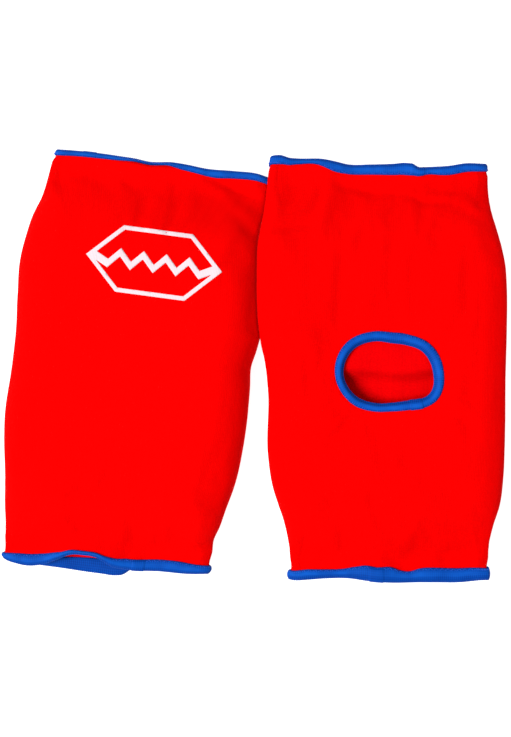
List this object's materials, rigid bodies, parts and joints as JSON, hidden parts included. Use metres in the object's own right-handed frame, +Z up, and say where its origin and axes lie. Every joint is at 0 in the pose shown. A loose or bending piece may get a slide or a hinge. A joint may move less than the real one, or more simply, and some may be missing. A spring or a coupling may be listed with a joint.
{
  "type": "elbow pad",
  "caption": "Padded elbow sleeve for martial arts and boxing: a knitted tube with foam over the point of the elbow, elastic-bound cuffs and a bound opening in the crook.",
  "frame": {"origin": "centre of the pair's outline, on the table that both pads lie on", "axes": "+X from the left pad to the right pad, +Y from the forearm cuffs to the upper arm cuffs, +Z up from the table"},
  "size_m": [0.3116, 0.2688, 0.0249],
  "materials": {
    "sleeve_knit": "matt red cotton and polyester knit",
    "binding_tape": "ribbed blue fold-over elastic",
    "lining": "matt red lining knit",
    "foam": "soft closed-cell foam, cut edges",
    "seam_thread": "overlocked seam allowance",
    "emblem_ink": "matt off-white screen print"
  },
  "bodies": {
    "right_upper_arm_half": {"right_front_panel_upper": "sleeve_knit", "right_back_panel_upper": "sleeve_knit", "right_foam_upper": "foam", "right_lining_upper": "lining", "right_upper_cuff_binding": "binding_tape", "right_opening_binding_upper": "binding_tape", "right_left_seam_upper": "seam_thread", "right_right_seam_upper": "seam_thread", "right_emblem": "emblem_ink"},
    "right_forearm_half": {"right_front_panel_lower": "sleeve_knit", "right_back_panel_lower": "sleeve_knit", "right_foam_lower": "foam", "right_lining_lower": "lining", "right_lower_cuff_binding": "binding_tape", "right_opening_binding_lower": "binding_tape", "right_left_seam_lower": "seam_thread", "right_right_seam_lower": "seam_thread"},
    "left_upper_arm_half": {"left_front_panel_upper": "sleeve_knit", "left_back_panel_upper": "sleeve_knit", "left_foam_upper": "foam", "left_lining_upper": "lining", "left_upper_cuff_binding": "binding_tape", "left_opening_binding_upper": "binding_tape", "left_left_seam_upper": "seam_thread", "left_right_seam_upper": "seam_thread", "left_emblem": "emblem_ink"},
    "left_forearm_half": {"left_front_panel_lower": "sleeve_knit", "left_back_panel_lower": "sleeve_knit", "left_foam_lower": "foam", "left_lining_lower": "lining", "left_lower_cuff_binding": "binding_tape", "left_opening_binding_lower": "binding_tape", "left_left_seam_lower": "seam_thread", "left_right_seam_lower": "seam_thread"}
  },
  "joints": [
    {"name": "right_elbow_bend", "type": "hinge", "parent": "right_upper_arm_half", "child": "right_forearm_half", "pos_m": [0.07935, -0.0039, 0.0249], "axis": [-0.9997, -0.0244, 0], "range_deg": [0, 130]},
    {"name": "left_upper_rise", "type": "hinge", "parent": "right_upper_arm_half", "child": "left_upper_arm_half", "pos_m": [-0.05769, 0.12677, 0], "axis": [-0.9912, 0.1323, 0], "range_deg": [0, 65]},
    {"name": "left_elbow_bend", "type": "hinge", "parent": "left_upper_arm_half", "child": "left_forearm_half", "pos_m": [-0.07475, -0.0011, 0], "axis": [0.9912, -0.1323, 0], "range_deg": [0, 130]}
  ],
  "couplings": [
    {"joint": "left_upper_rise", "follows": "left_elbow_bend", "ratio": 0.5}
  ]
}
